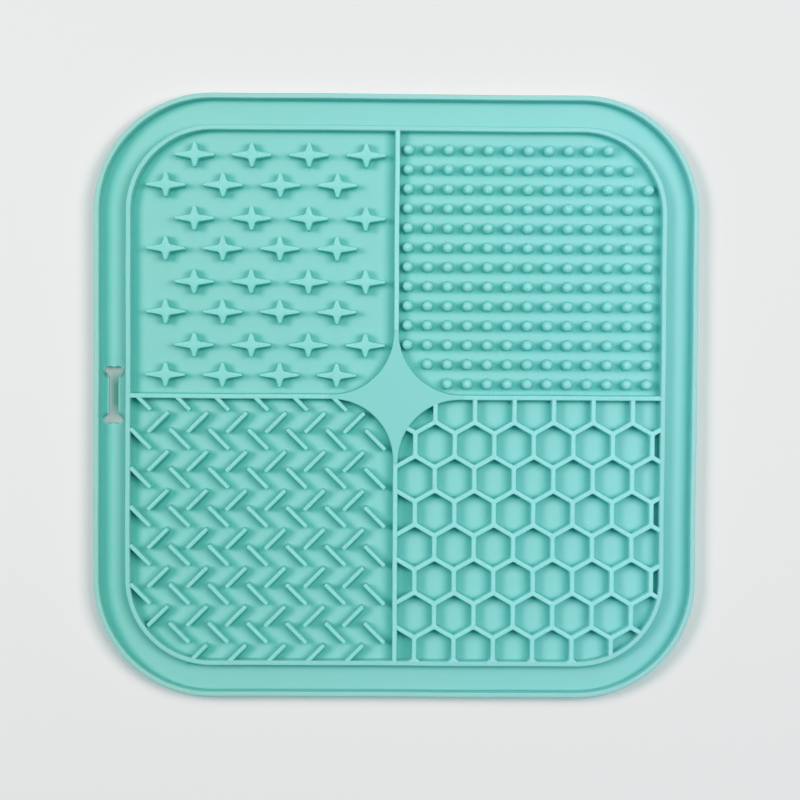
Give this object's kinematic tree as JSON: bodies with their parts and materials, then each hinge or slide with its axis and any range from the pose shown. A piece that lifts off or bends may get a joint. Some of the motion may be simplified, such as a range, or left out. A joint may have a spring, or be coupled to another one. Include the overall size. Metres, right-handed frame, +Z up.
{
  "type": "lick mat",
  "caption": "Square silicone feeding mat with a raised rim, four textured wells, a flat back and a bone-shaped hanging hole.",
  "frame": {"origin": "Middle of the square mat's flat back, on the surface that the mat lies on.", "axes": "+Z up out of the textured face, +Y from the two lower wells (bars, honeycomb) towards the two upper wells (stars, nubs), +X from the hanging hole across the mat, from stars to nubs."},
  "size_m": [0.2, 0.2, 0.0062],
  "materials": {
    "silicone": "Matte teal silicone with a fine moulded satin skin, paler on raised edges."
  },
  "bodies": {
    "root": {"base_sheet": "silicone", "rim_channel": "silicone", "outer_lip": "silicone", "inner_wall": "silicone", "divider_north": "silicone", "divider_south": "silicone", "divider_east": "silicone", "divider_west": "silicone", "middle_star": "silicone", "star_row_1": "silicone", "star_row_2": "silicone", "star_row_3": "silicone", "star_row_4": "silicone", "star_row_5": "silicone", "star_row_6": "silicone", "star_row_7": "silicone", "star_row_8": "silicone", "nub_row_1": "silicone", "nub_row_2": "silicone", "nub_row_3": "silicone", "nub_row_4": "silicone", "nub_row_5": "silicone", "nub_row_6": "silicone", "nub_row_7": "silicone", "nub_row_8": "silicone", "nub_row_9": "silicone", "nub_row_10": "silicone", "nub_row_11": "silicone", "nub_row_12": "silicone", "nub_row_13": "silicone", "slash_row_1": "silicone", "slash_row_2": "silicone", "slash_row_3": "silicone", "slash_row_4": "silicone", "slash_row_5": "silicone", "slash_row_6": "silicone", "slash_row_7": "silicone", "backslash_row_1": "silicone", "backslash_row_2": "silicone", "backslash_row_3": "silicone", "backslash_row_4": "silicone", "backslash_row_5": "silicone", "backslash_row_6": "silicone", "backslash_row_7": "silicone", "honeycomb_posts": "silicone", "honeycomb_rises": "silicone", "honeycomb_falls": "silicone"}
  },
  "joints": []
}
